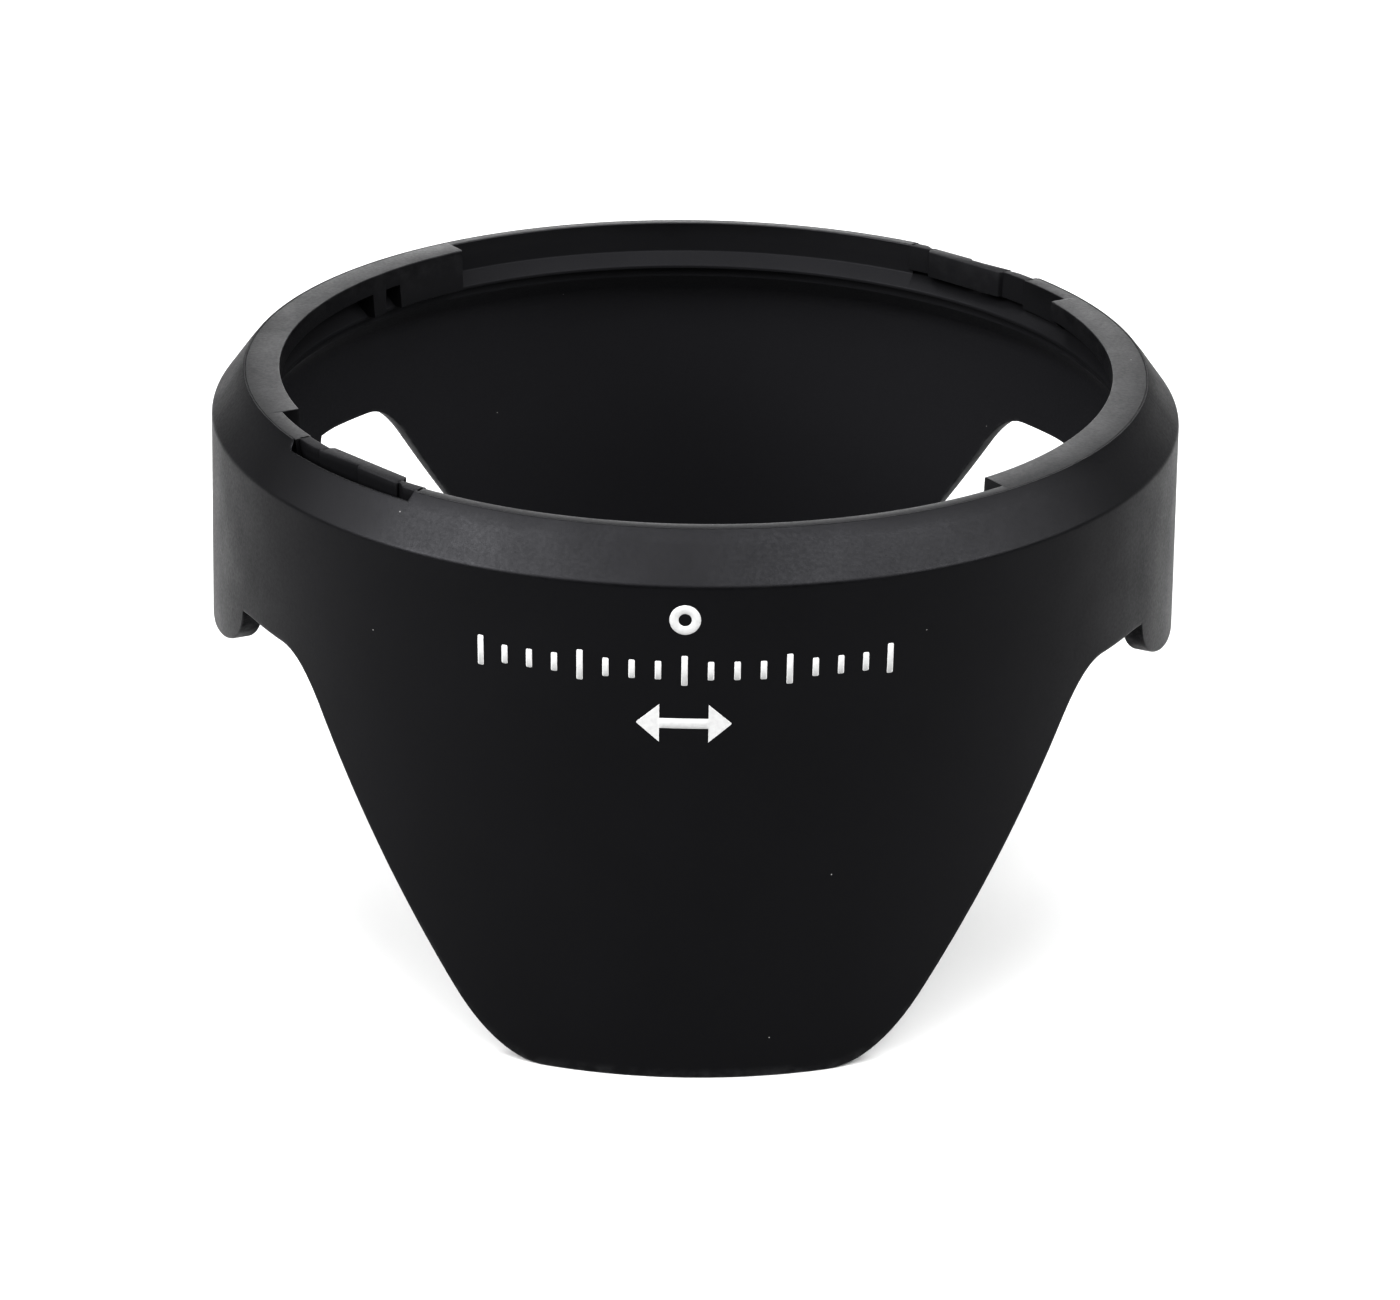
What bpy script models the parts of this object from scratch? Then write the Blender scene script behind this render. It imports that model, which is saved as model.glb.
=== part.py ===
"""Petal lens hood with a bayonet ring, standing on its two long petals with the mount end up.

Frame: the origin is the middle of the surface that the hood stands on, +Z runs up the optical axis
to the mount face, and -Y is the front, the side with the printed index ring. Lengths are in metres.
Azimuths are in degrees from the front (-Y), positive towards +X. Depths are measured down from the
mount face.
"""

from math import atan2, ceil, cos, degrees, pi, radians, sin

import bmesh
import bpy

MM = 0.001

# Overall size
HEIGHT = 39.2 * MM
BARREL_RADIUS = 36.0 * MM
FLARE = 0.052
WALL = 1.5 * MM
COLUMN_STEP = 2.0
TAB_START_STEP = 0.5

# Chamfer round the mount end
CHAMFER_TOP_RADIUS = 33.6 * MM
CHAMFER_DEPTH = 3.07 * MM

# Petal outline: depths of its edge, and the azimuths from front or back where its petals start
TIP_DEPTH = HEIGHT
NOTCH_DEPTH = 13.65 * MM
LONG_PETAL_CORNER = 47.7
LONG_PETAL_SLOPE = 0.927 * MM
LONG_PETAL_BULGE = 0.3 * MM
LONG_PETAL_REACH = 27.6
NOTCH_MIDDLE = 55.0
TIP_ROUNDING = 4.8 * MM
LONG_NOTCH_ROUNDING = 3.5 * MM
TAB_LENGTH = 5.88 * MM
TAB_HALF_WIDTH = 28.63
TAB_FULLNESS = 0.413
TAB_NOTCH_ROUNDING = 0.8 * MM

# Seat for the bayonet ring, inside the shell
SEAT_RADIUS = 33.48 * MM
SEAT_DEPTH = 3.75 * MM
LIP_RADIUS = 32.4 * MM
LIP_BOTTOM_DEPTH = 4.6 * MM
WALL_TOP_DEPTH = 6.6 * MM

# Bayonet ring
RING_OUTER_RADIUS = 33.40 * MM
GROOVE_RADIUS = 32.67 * MM
LUG_RADIUS = 30.9 * MM
ANCHOR_RADIUS = 32.15 * MM
LUG_THICKNESS = 1.5 * MM
LEDGE_OUTER_DEPTH = 2.45 * MM
LEDGE_RADIUS = 31.65 * MM
LEDGE_INNER_DEPTH = 3.45 * MM
RING_DEPTH = 3.70 * MM

# One half turn of the ring, by azimuth; the other half repeats it 180 degrees on
LUG_START = 38.9
STOP_END = 51.4
RIB_START = 54.6
RIB_END = 57.4
LUG_END = 115.2
SLOT_START = 124.9
SLOT_END = 146.5
SECTORS = (
    (LUG_START, STOP_END, "stop"),
    (STOP_END, RIB_START, "lug"),
    (RIB_START, RIB_END, "stop"),
    (RIB_END, LUG_END, "lug"),
    (LUG_END, SLOT_START, "anchor"),
    (SLOT_START, SLOT_END, "slot"),
    (SLOT_END, LUG_START + 180, "entry"),
)

# Detent flexure: a flat tongue between two thin arms, free of the ring's floor and of the shell
TONGUE_AZIMUTH = 136.35
TONGUE_HALF_LENGTH = 4.05 * MM
TONGUE_INNER = 31.70 * MM
TONGUE_OUTER = 32.85 * MM
TONGUE_DEPTH = 2.15 * MM
ARM_GAP = 0.10 * MM
ARM_OUTER_RADIUS = 33.15 * MM
LONG_ARM_RADIUS = 32.22 * MM
SHORT_ARM_RADIUS = 32.45 * MM
EDGE_BEVEL = 0.12 * MM

# Relief behind the tongue, cut into the shell's seat
RELIEF_RADIUS = 33.92 * MM
RELIEF_DEPTH = 2.6 * MM
RELIEF_MARGIN = 0.35

# Printed marks: thin ink solids just off the barrel
INK_GAP = 0.02 * MM
INK_THICKNESS = 0.05 * MM
PRINT_AZIMUTH = -0.75
INDEX_DEPTH = 5.25 * MM
INDEX_OUTER_RADIUS = 1.02 * MM
INDEX_INNER_RADIUS = 0.42 * MM
SCALE_DEPTH = 8.78 * MM
SCALE_TICKS = 17
SCALE_PITCH = 2.7
TICK_WIDTH = 0.42 * MM
SHORT_TICK = 1.3 * MM
LONG_TICK = 2.1 * MM
TICKS_PER_LONG_TICK = 4
ARROW_DEPTH = 12.5 * MM
ARROW_HALF_LENGTH = 3.1 * MM
ARROW_HEAD_LENGTH = 1.5 * MM
ARROW_HEAD_HALF_WIDTH = 1.35 * MM
ARROW_SHAFT_HALF_WIDTH = 0.36 * MM
ARROW_TIP_HALF_WIDTH = 0.05 * MM


def clear_scene():
    for obj in list(bpy.data.objects):
        bpy.data.objects.remove(obj, do_unlink=True)


def plastic(name, colour, roughness):
    """A Principled material with one colour."""
    material = bpy.data.materials.new(name)
    material.use_nodes = True
    shader = material.node_tree.nodes["Principled BSDF"]
    shader.inputs["Base Color"].default_value = (*colour, 1.0)
    shader.inputs["Roughness"].default_value = roughness
    shader.inputs["Metallic"].default_value = 0.0
    return material


def point(azimuth, radius, depth):
    """A point given by its azimuth, its distance from the axis and its depth below the mount face."""
    angle = radians(azimuth)
    return (radius * sin(angle), -radius * cos(angle), HEIGHT - depth)


def barrel_radius(depth):
    """The barrel widens slightly from the foot of the chamfer to the petal tips."""
    return BARREL_RADIUS + FLARE * (depth - CHAMFER_DEPTH)


def soft_min(first, second, reach):
    """The smaller of two values, with a rounded change from one to the other."""
    overlap = max(reach - abs(first - second), 0.0) / reach
    return min(first, second) - overlap * overlap * reach / 4


def soft_max(first, second, reach):
    return -soft_min(-first, -second, reach)


def petal_edge_depth(azimuth):
    """The depth of the petal outline: long petals at front and back, short round tabs at the sides."""
    turn = abs((azimuth + 90) % 180 - 90)
    if turn < NOTCH_MIDDLE:
        along = LONG_PETAL_CORNER - turn
        bulge = LONG_PETAL_BULGE * sin(pi * min(max(along / LONG_PETAL_REACH, 0.0), 1.0))
        side = NOTCH_DEPTH + LONG_PETAL_SLOPE * along + bulge
        petal = soft_min(side, TIP_DEPTH, TIP_ROUNDING)
        return soft_max(petal, NOTCH_DEPTH, LONG_NOTCH_ROUNDING)
    across = (90.0 - turn) / TAB_HALF_WIDTH
    if across < 1:
        petal = NOTCH_DEPTH + TAB_LENGTH * (1 - across * across) ** TAB_FULLNESS
    else:
        petal = NOTCH_DEPTH - TAB_LENGTH * (across - 1)
    return soft_max(petal, NOTCH_DEPTH, TAB_NOTCH_ROUNDING)


def azimuths(start, end, step=COLUMN_STEP):
    """Azimuths from start to end, both included, no more than a step apart."""
    steps = ceil((end - start) / step - 1e-9)
    return [start + (end - start) * i / steps for i in range(steps + 1)]


def shell_azimuths():
    """Column places round the shell, closer together where the tabs start steeply."""
    places = []
    for first in (0.0, 180.0):
        for start, end, step in (
            (0.0, 60.0, COLUMN_STEP),
            (60.0, 62.0, TAB_START_STEP),
            (62.0, 118.0, COLUMN_STEP),
            (118.0, 120.0, TAB_START_STEP),
            (120.0, 180.0, COLUMN_STEP),
        ):
            places += azimuths(first + start, first + end, step)[:-1]
    return places


def loft(name, columns, material, closed=False):
    """A solid through a row of outlines with equal point counts. Points that coincide are merged."""
    bm = bmesh.new()
    rings = [[bm.verts.new(place) for place in column] for column in columns]
    following = rings[1:] + rings[:1] if closed else rings[1:]
    for ring, other in zip(rings, following):
        for i in range(len(ring)):
            j = (i + 1) % len(ring)
            bm.faces.new((ring[i], ring[j], other[j], other[i]))
    if not closed:
        bm.faces.new(rings[0])
        bm.faces.new(rings[-1])
    bmesh.ops.remove_doubles(bm, verts=bm.verts, dist=1e-7)
    bmesh.ops.dissolve_degenerate(bm, edges=bm.edges, dist=1e-7)
    bmesh.ops.recalc_face_normals(bm, faces=bm.faces)
    return add_object(name, bm, material)


def add_object(name, bm, material):
    mesh = bpy.data.meshes.new(name)
    bm.to_mesh(mesh)
    bm.free()
    mesh.materials.append(material)
    mesh.shade_smooth()
    mesh.set_sharp_from_angle(angle=radians(30))
    obj = bpy.data.objects.new(name, mesh)
    bpy.context.scene.collection.objects.link(obj)
    return obj


def shell_outline(azimuth):
    """The shell's section at one azimuth, from the chamfer's top down the outside and up the inside."""
    edge = petal_edge_depth(azimuth)
    section = (
        (CHAMFER_TOP_RADIUS, 0.0),
        (BARREL_RADIUS, CHAMFER_DEPTH),
        (barrel_radius(edge), edge),
        (barrel_radius(edge) - WALL, edge),
        (barrel_radius(WALL_TOP_DEPTH) - WALL, WALL_TOP_DEPTH),
        (LIP_RADIUS, LIP_BOTTOM_DEPTH),
        (LIP_RADIUS, SEAT_DEPTH),
        (SEAT_RADIUS, SEAT_DEPTH),
        (SEAT_RADIUS, 0.0),
    )
    return [point(azimuth, radius, depth) for radius, depth in section]


def relief_cutter(name, half_turn, material):
    """The pocket behind one tongue, which lets it spring outwards."""
    start = SLOT_START + half_turn + RELIEF_MARGIN
    end = SLOT_END + half_turn - RELIEF_MARGIN
    section = (
        (ARM_OUTER_RADIUS, -0.5 * MM),
        (RELIEF_RADIUS, -0.5 * MM),
        (RELIEF_RADIUS, RELIEF_DEPTH),
        (ARM_OUTER_RADIUS, RELIEF_DEPTH),
    )
    columns = [[point(a, r, d) for r, d in section] for a in azimuths(start, end)]
    cutter = loft(name, columns, material)
    cutter.hide_render = True
    cutter.display_type = "WIRE"
    return cutter


def petal_shell(material):
    """The outer moulding: chamfer, flared barrel, petals and the seat for the bayonet ring."""
    columns = [shell_outline(a) for a in shell_azimuths()]
    shell = loft("petal_shell", columns, material, closed=True)
    for side, half_turn in (("right", 0.0), ("left", 180.0)):
        cut = shell.modifiers.new("relief_" + side, "BOOLEAN")
        cut.operation = "DIFFERENCE"
        cut.solver = "EXACT"
        cut.object = relief_cutter("relief_cutter_" + side, half_turn, material)
    return shell


def ring_outline(azimuth, kind):
    """The bayonet ring's section in one kind of sector, with eight points in every kind."""
    top_depth = 0.0
    inner_radius = GROOVE_RADIUS
    shelf_radius = GROOVE_RADIUS
    shelf_depth = LEDGE_OUTER_DEPTH
    lug_bottom = LUG_THICKNESS
    if kind in ("lug", "stop"):
        inner_radius = LUG_RADIUS
    if kind == "stop":
        shelf_radius = LEDGE_RADIUS
        shelf_depth = LEDGE_INNER_DEPTH
        lug_bottom = LEDGE_INNER_DEPTH
    if kind == "anchor":
        inner_radius = ANCHOR_RADIUS
        lug_bottom = LEDGE_OUTER_DEPTH
    if kind == "slot":
        top_depth = LEDGE_OUTER_DEPTH
        lug_bottom = LEDGE_OUTER_DEPTH
    section = (
        (RING_OUTER_RADIUS, top_depth),
        (inner_radius, top_depth),
        (inner_radius, lug_bottom),
        (shelf_radius, lug_bottom),
        (shelf_radius, shelf_depth),
        (LEDGE_RADIUS, LEDGE_INNER_DEPTH),
        (LEDGE_RADIUS, RING_DEPTH),
        (RING_OUTER_RADIUS, RING_DEPTH),
    )
    return [point(azimuth, radius, depth) for radius, depth in section]


def bayonet_ring(material):
    """Lugs, groove, ledge, rotation stops and their ribs, bonded into the shell's seat."""
    columns = []
    for half_turn in (0.0, 180.0):
        for start, end, kind in SECTORS:
            columns += [ring_outline(a + half_turn, kind) for a in azimuths(start, end)]
    return loft("bayonet_ring", columns, material, closed=True)


def soften(obj, width):
    """Rounds a small piece's corners a little, as moulding does."""
    bevel = obj.modifiers.new("soften", "BEVEL")
    bevel.width = width
    bevel.segments = 2
    bevel.limit_method = "ANGLE"
    bevel.angle_limit = radians(40)


def detent_tongue(name, half_turn, material):
    """The flat bar that clicks over the lens's tab. Its origin is on the line that it springs along."""
    columns = []
    for along in (-TONGUE_HALF_LENGTH, TONGUE_HALF_LENGTH):
        columns.append(
            [
                (along, -TONGUE_INNER, 0.0),
                (along, -TONGUE_OUTER, 0.0),
                (along, -TONGUE_OUTER, -TONGUE_DEPTH),
                (along, -TONGUE_INNER, -TONGUE_DEPTH),
            ]
        )
    tongue = loft(name, columns, material)
    tongue.location = (0.0, 0.0, HEIGHT)
    tongue.rotation_euler = (0.0, 0.0, radians(TONGUE_AZIMUTH + half_turn))
    soften(tongue, EDGE_BEVEL)
    return tongue


def flex_arm(name, start, end, inner_radius, half_turn, material):
    """One of the thin strips that carry a tongue, from the ring to just short of the tongue."""
    section = (
        (ARM_OUTER_RADIUS, 0.0),
        (inner_radius, 0.0),
        (inner_radius, TONGUE_DEPTH),
        (ARM_OUTER_RADIUS, TONGUE_DEPTH),
    )
    columns = [[point(a + half_turn, r, d) for r, d in section] for a in azimuths(start, end)]
    return loft(name, columns, material)


def detent(side, half_turn, material):
    """A tongue with its long and short arms. Each arm keeps a hair's gap at both of its ends."""
    gap = degrees(ARM_GAP / GROOVE_RADIUS)
    half_span = degrees(atan2(TONGUE_HALF_LENGTH, TONGUE_INNER)) + gap
    tongue_start = TONGUE_AZIMUTH - half_span
    tongue_end = TONGUE_AZIMUTH + half_span
    detent_tongue("detent_tongue_" + side, half_turn, material)
    long_arm = (SLOT_START + gap / 2, tongue_start, LONG_ARM_RADIUS)
    short_arm = (tongue_end, SLOT_END - gap / 2, SHORT_ARM_RADIUS)
    flex_arm("long_flex_arm_" + side, *long_arm, half_turn, material)
    flex_arm("short_flex_arm_" + side, *short_arm, half_turn, material)


def ink_point(along, down, height):
    """A point of a printed mark: its place on the barrel's skin, and its height above the skin."""
    radius = barrel_radius(down)
    azimuth = PRINT_AZIMUTH + degrees(along / radius)
    return point(azimuth, radius + INK_GAP + height, down)


def index_ring_mark(material):
    """The printed ring that lines up with the lens's own index."""
    columns = []
    sides = 28
    for i in range(sides):
        turn = 2 * pi * i / sides
        column = []
        for radius, height in (
            (INDEX_INNER_RADIUS, 0.0),
            (INDEX_OUTER_RADIUS, 0.0),
            (INDEX_OUTER_RADIUS, INK_THICKNESS),
            (INDEX_INNER_RADIUS, INK_THICKNESS),
        ):
            down = INDEX_DEPTH + radius * sin(turn)
            column.append(ink_point(radius * cos(turn), down, height))
        columns.append(column)
    loft("index_ring_mark", columns, material, closed=True)


def ink_strip(stations):
    """The columns of a mark given as (distance along, middle depth, half width) stations."""
    columns = []
    for along, middle, half_width in stations:
        corners = (
            (middle - half_width, 0.0),
            (middle + half_width, 0.0),
            (middle + half_width, INK_THICKNESS),
            (middle - half_width, INK_THICKNESS),
        )
        columns.append([ink_point(along, down, height) for down, height in corners])
    return columns


def scale_ticks(material):
    """A plain graduated scale: a row of ink bars, each a piece of its own."""
    for i in range(SCALE_TICKS):
        place = i - SCALE_TICKS // 2
        length = SHORT_TICK if place % TICKS_PER_LONG_TICK else LONG_TICK
        middle = radians(place * SCALE_PITCH) * barrel_radius(SCALE_DEPTH)
        edges = (middle - TICK_WIDTH / 2, middle + TICK_WIDTH / 2)
        stations = [(along, SCALE_DEPTH, length / 2) for along in edges]
        loft(f"scale_tick_{i + 1:02d}", ink_strip(stations), material)


def twist_arrow_mark(material):
    """A two-headed arrow: the hood twists on and off."""
    neck = ARROW_HALF_LENGTH - ARROW_HEAD_LENGTH
    half = [(0.0, ARROW_SHAFT_HALF_WIDTH), (neck, ARROW_SHAFT_HALF_WIDTH)]
    half += [(neck, ARROW_HEAD_HALF_WIDTH), (ARROW_HALF_LENGTH, ARROW_TIP_HALF_WIDTH)]
    outline = [(-along, width) for along, width in reversed(half[1:])] + half
    stations = [(along, ARROW_DEPTH, width) for along, width in outline]
    loft("twist_arrow_mark", ink_strip(stations), material)


def build():
    clear_scene()
    shell_black = plastic("shell_black", (0.012, 0.012, 0.013), 0.42)
    ring_black = plastic("ring_black", (0.015, 0.015, 0.016), 0.38)
    white_ink = plastic("white_ink", (0.82, 0.82, 0.80), 0.5)
    petal_shell(shell_black)
    bayonet_ring(ring_black)
    detent("right", 0.0, ring_black)
    detent("left", 180.0, ring_black)
    index_ring_mark(white_ink)
    scale_ticks(white_ink)
    twist_arrow_mark(white_ink)


build()
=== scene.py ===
"""The looks of the petal lens hood: fine moulded surfaces, flexing detents, printed marks and studio.

Azimuths are degrees from the front (-Y), positive towards +X. Depths run down from the mount face.
"""

from math import atan2, cos, degrees, hypot, pi, radians, sin, sqrt

import bmesh
import bpy
from mathutils import Matrix, Vector


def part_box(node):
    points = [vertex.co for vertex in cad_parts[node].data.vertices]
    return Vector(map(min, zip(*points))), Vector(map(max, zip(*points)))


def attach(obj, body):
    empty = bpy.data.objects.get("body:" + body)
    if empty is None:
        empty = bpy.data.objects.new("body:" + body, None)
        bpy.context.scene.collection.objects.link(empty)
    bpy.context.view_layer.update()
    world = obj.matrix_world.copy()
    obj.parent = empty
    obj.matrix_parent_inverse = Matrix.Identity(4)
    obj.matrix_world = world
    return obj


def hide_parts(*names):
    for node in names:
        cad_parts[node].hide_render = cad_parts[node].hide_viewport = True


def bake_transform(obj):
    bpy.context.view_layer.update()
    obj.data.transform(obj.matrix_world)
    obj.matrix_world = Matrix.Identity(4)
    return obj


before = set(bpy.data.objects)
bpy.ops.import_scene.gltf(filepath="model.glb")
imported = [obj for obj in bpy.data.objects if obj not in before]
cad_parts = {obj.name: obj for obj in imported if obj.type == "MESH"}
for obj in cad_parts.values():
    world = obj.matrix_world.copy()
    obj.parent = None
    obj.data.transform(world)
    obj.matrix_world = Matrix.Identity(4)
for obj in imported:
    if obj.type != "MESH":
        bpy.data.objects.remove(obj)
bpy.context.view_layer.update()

MM = 0.001
UP = Vector((0, 0, 1))

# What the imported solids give
SHELL_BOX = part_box("petal_shell")
RING_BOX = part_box("bayonet_ring")
HEIGHT = SHELL_BOX[1].z
RING_OUTER_RADIUS = RING_BOX[1].x
RING_DEPTH = HEIGHT - RING_BOX[0].z
TONGUE_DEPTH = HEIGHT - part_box("detent_tongue_left")[0].z

# The shell's section and outline, as in the solids
BARREL_RADIUS = 36.0 * MM
FLARE = 0.052
WALL = 1.5 * MM
CHAMFER_TOP_RADIUS = 33.6 * MM
CHAMFER_DEPTH = 3.07 * MM
NOTCH_DEPTH = 13.65 * MM
LONG_PETAL_CORNER = 47.7
LONG_PETAL_SLOPE = 0.927 * MM
LONG_PETAL_BULGE = 0.3 * MM
LONG_PETAL_REACH = 27.6
NOTCH_MIDDLE = 55.0
TIP_ROUNDING = 4.8 * MM
LONG_NOTCH_ROUNDING = 3.5 * MM
TAB_LENGTH = 5.88 * MM
TAB_HALF_WIDTH = 28.63
TAB_FULLNESS = 0.413
TAB_NOTCH_ROUNDING = 0.8 * MM
TAB_START = 90.0 - TAB_HALF_WIDTH
SEAT_RADIUS = 33.425 * MM
SEAT_DEPTH = 3.75 * MM
LIP_RADIUS = 32.4 * MM
LIP_BOTTOM_DEPTH = 4.6 * MM
WALL_TOP_DEPTH = 6.6 * MM
CHAMFER_ROW_RADIUS = 34.2 * MM
RELIEF_RADIUS = 33.92 * MM
RELIEF_DEPTH = 2.6 * MM
LEAST_RIM_WIDTH = 0.12 * MM
RIM_INSET = 0.05 * MM

# The bayonet ring's section
GROOVE_RADIUS = 32.67 * MM
LUG_RADIUS = 30.9 * MM
ANCHOR_RADIUS = 32.15 * MM
LUG_THICKNESS = 1.5 * MM
LEDGE_OUTER_DEPTH = 2.45 * MM
LEDGE_RADIUS = 31.65 * MM
LEDGE_INNER_DEPTH = 3.45 * MM
LUG_START = 38.9
STOP_END = 51.4
RIB_START = 54.6
RIB_END = 57.4
LUG_END = 115.2
SLOT_START = 124.9
SLOT_END = 146.5

# The flexures
TONGUE_AZIMUTH = 136.35
TONGUE_HALF_LENGTH = 4.05 * MM
TONGUE_INNER = 31.70 * MM
TONGUE_OUTER = 32.85 * MM
TONGUE_BACK_STEP = 0.30 * MM
TONGUE_RAMP = 0.35 * MM
LONG_ARM_RADIUS = 32.22 * MM
LONG_ARM_OUTER = 33.08 * MM
SHORT_ARM_RADIUS = 32.52 * MM
SHORT_ARM_OUTER = 33.36 * MM
ARM_TIP_OUTER = 32.92 * MM
ARM_EMBEDDING = 0.25 * MM
ARM_TAPER_START = 0.55
ARM_TAPER_LENGTH = 0.4
TONGUE_STEP_START = -0.15 * MM
TONGUE_STEP_END = 0.1 * MM
TONGUE_FOOT_DROP = 0.05 * MM

# Roundings of the edges
SEAM_ROUNDING = 0.02 * MM
RIM_ROUNDING = 0.03 * MM
CHAMFER_FOOT_ROUNDING = 0.18 * MM
PETAL_EDGE_ROUNDING = 0.22 * MM
UNDERSIDE_ROUNDING = 0.8 * MM
EDGE_ROUNDING = 0.1 * MM
FINE_ROUNDING = 0.05 * MM
RING_INNER_FOOT_ROUNDING = 0.06 * MM
RING_OUTER_FOOT_ROUNDING = 0.04 * MM
FLEXURE_ROUNDING = 0.08 * MM

# Fineness of the meshes: widths and steps round the hood are in degrees
MERGE_DISTANCE = 2e-7
SHARP_ANGLE = 50.0
COLUMN_STEP = 0.75
FILLET_POINTS = 4
FILLET_ROOM = 0.45
STEP_WIDTH = 0.3
ROUND_END_WIDTH = 1.0
TAB_START_WIDTH = 2.4
GRADING = (0.05, 0.13, 0.26, 0.46)
STEP_COLUMNS = 8
GUARD_ROW = 0.018
CHAMFER_ROWS = 6
BARREL_ROWS = 12
INNER_WALL_ROWS = 10
ARM_COLUMNS = 20
BEVEL_SEGMENTS = 3

# Finish of the plastics
COOL_TINT = (0.95, 0.95, 1.0)
WORN_COLOUR = (0.03, 0.03, 0.031)
DUST_COLOUR = (0.16, 0.16, 0.155)
DUST_SCALE = 520.0
DUST_SPECK_SIZE = (0.02, 0.035)
DUST_FREE_SHARE = 0.9
CLOUD_SCALE = 110.0
CLOUD_DARKENING = 0.75
SCUFF_SCALE = 900.0
SMUDGE_SCALE = 240.0
SMUDGE_GLOSS = 0.03
GRAIN_SCALE = 4200.0
GRAIN_GLOSS = 0.05
WAVINESS_SCALE = 420.0

# Where the finish is dull, and where it is worn
WALL_SHINE_SHARE = 0.4
WALL_CHANGE_SHARE = 0.2
WALL_MATT_MARGIN = 0.2 * MM
RING_SHINE_DEPTH = 0.1 * MM
RING_CHANGE_DEPTH = 0.3 * MM
FLEXURE_DULLNESS = 0.65
PETAL_WEAR_REACH = 0.35 * MM
LUG_WEAR_REACH = 0.25 * MM
LUG_WEAR = 0.35
TONGUE_WEAR = 0.12

# Printed marks
INK_GAP = 0.015 * MM
INK_THICKNESS = 0.05 * MM
INK_BRIM = 0.35 * INK_THICKNESS
INK_EDGE = 0.03 * MM
INK_THIN_COLOUR = (0.285, 0.285, 0.285)
INK_FULL_COLOUR = (0.32, 0.32, 0.32)
INK_GRAIN_SCALE = 3200.0
INK_GRAIN = 0.006 * MM
PRINT_AZIMUTH = -0.75
INDEX_DEPTH = 5.25 * MM
INDEX_OUTER_RADIUS = 1.02 * MM
INDEX_INNER_RADIUS = 0.42 * MM
INDEX_SIDES = 72
SCALE_DEPTH = 8.78 * MM
SCALE_TICKS = 17
SCALE_PITCH = 2.7
TICK_WIDTH = 0.42 * MM
SHORT_TICK = 1.3 * MM
LONG_TICK = 2.1 * MM
TICKS_PER_LONG_TICK = 4
TICK_CORNER = 0.09 * MM
TICK_STRAIGHT_SHARE = 0.57
TICK_CORNER_SHARES = (1.0, 0.94, 0.8, TICK_STRAIGHT_SHARE)
ARROW_DEPTH = 12.5 * MM
ARROW_HALF_LENGTH = 3.1 * MM
ARROW_HEAD_LENGTH = 1.5 * MM
ARROW_HEAD_HALF_WIDTH = 1.35 * MM
ARROW_SHAFT_HALF_WIDTH = 0.36 * MM
ARROW_TIP_HALF_WIDTH = 0.05 * MM
ARROW_SHAFT_STEPS = 6
ARROW_HEAD_STEPS = 8

# Studio: each softbox has its azimuth, elevation, width, height and brightness
LIGHT_DISTANCE = 0.9
LIGHT_AIM_SHARE = 0.75
BACKGROUND_BRIGHTNESS = 0.95
FLOOR_HALF_SIZE = 0.6
FLOOR_COLOUR = (0.40, 0.40, 0.40)
FLOOR_LIGHTENING = 1.03
FLOOR_CLOUD_SCALE = 3.0
SOFTBOXES = (
    ("key_left", -60.0, 32.0, 0.42, 0.44, 17.5),
    ("side_left", -92.0, 30.0, 0.34, 0.4, 3.7),
    ("key_right", 60.0, 32.0, 0.42, 0.44, 10.4),
    ("side_right", 92.0, 30.0, 0.34, 0.4, 4.0),
    ("bank_left", -30.0, 52.0, 0.42, 0.4, 8.6),
    ("bank_right", 27.0, 52.0, 0.42, 0.4, 11.0),
    ("back", 179.5, 14.0, 0.46, 0.38, 2.3),
    ("back_left", -135.0, 8.0, 0.8, 0.36, 0.5),
    ("back_right", 135.0, 8.0, 0.8, 0.36, 0.5),
    ("rear_left", -142.0, 56.0, 0.5, 0.4, 5.0),
    ("rear_right", 142.0, 56.0, 0.5, 0.4, 5.0),
)

# Camera
CAMERA_DISTANCE = 209.6 * MM
CAMERA_ELEVATION = 19.6
CAMERA_ROLL = 0.914
AIM_RIGHT = 0.614 * MM
AIM_DEPTH = 24.75 * MM
FOCAL_LENGTH = 71.59
SENSOR_WIDTH = 36.0


# ---------------------------------------------------------------- geometry

def point(azimuth, radius, depth):
    """A point given by its azimuth, its distance from the axis and its depth below the mount face."""
    angle = radians(azimuth)
    return Vector((radius * sin(angle), -radius * cos(angle), HEIGHT - depth))


def barrel_radius(depth):
    return BARREL_RADIUS + FLARE * (depth - CHAMFER_DEPTH)


def soft_min(first, second, reach):
    """The smaller of two values, with a rounded change from one to the other."""
    overlap = max(reach - abs(first - second), 0.0) / reach
    return min(first, second) - overlap * overlap * reach / 4


def soft_max(first, second, reach):
    return -soft_min(-first, -second, reach)


def smooth_step(t):
    t = min(max(t, 0.0), 1.0)
    return t * t * (3 - 2 * t)


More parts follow.
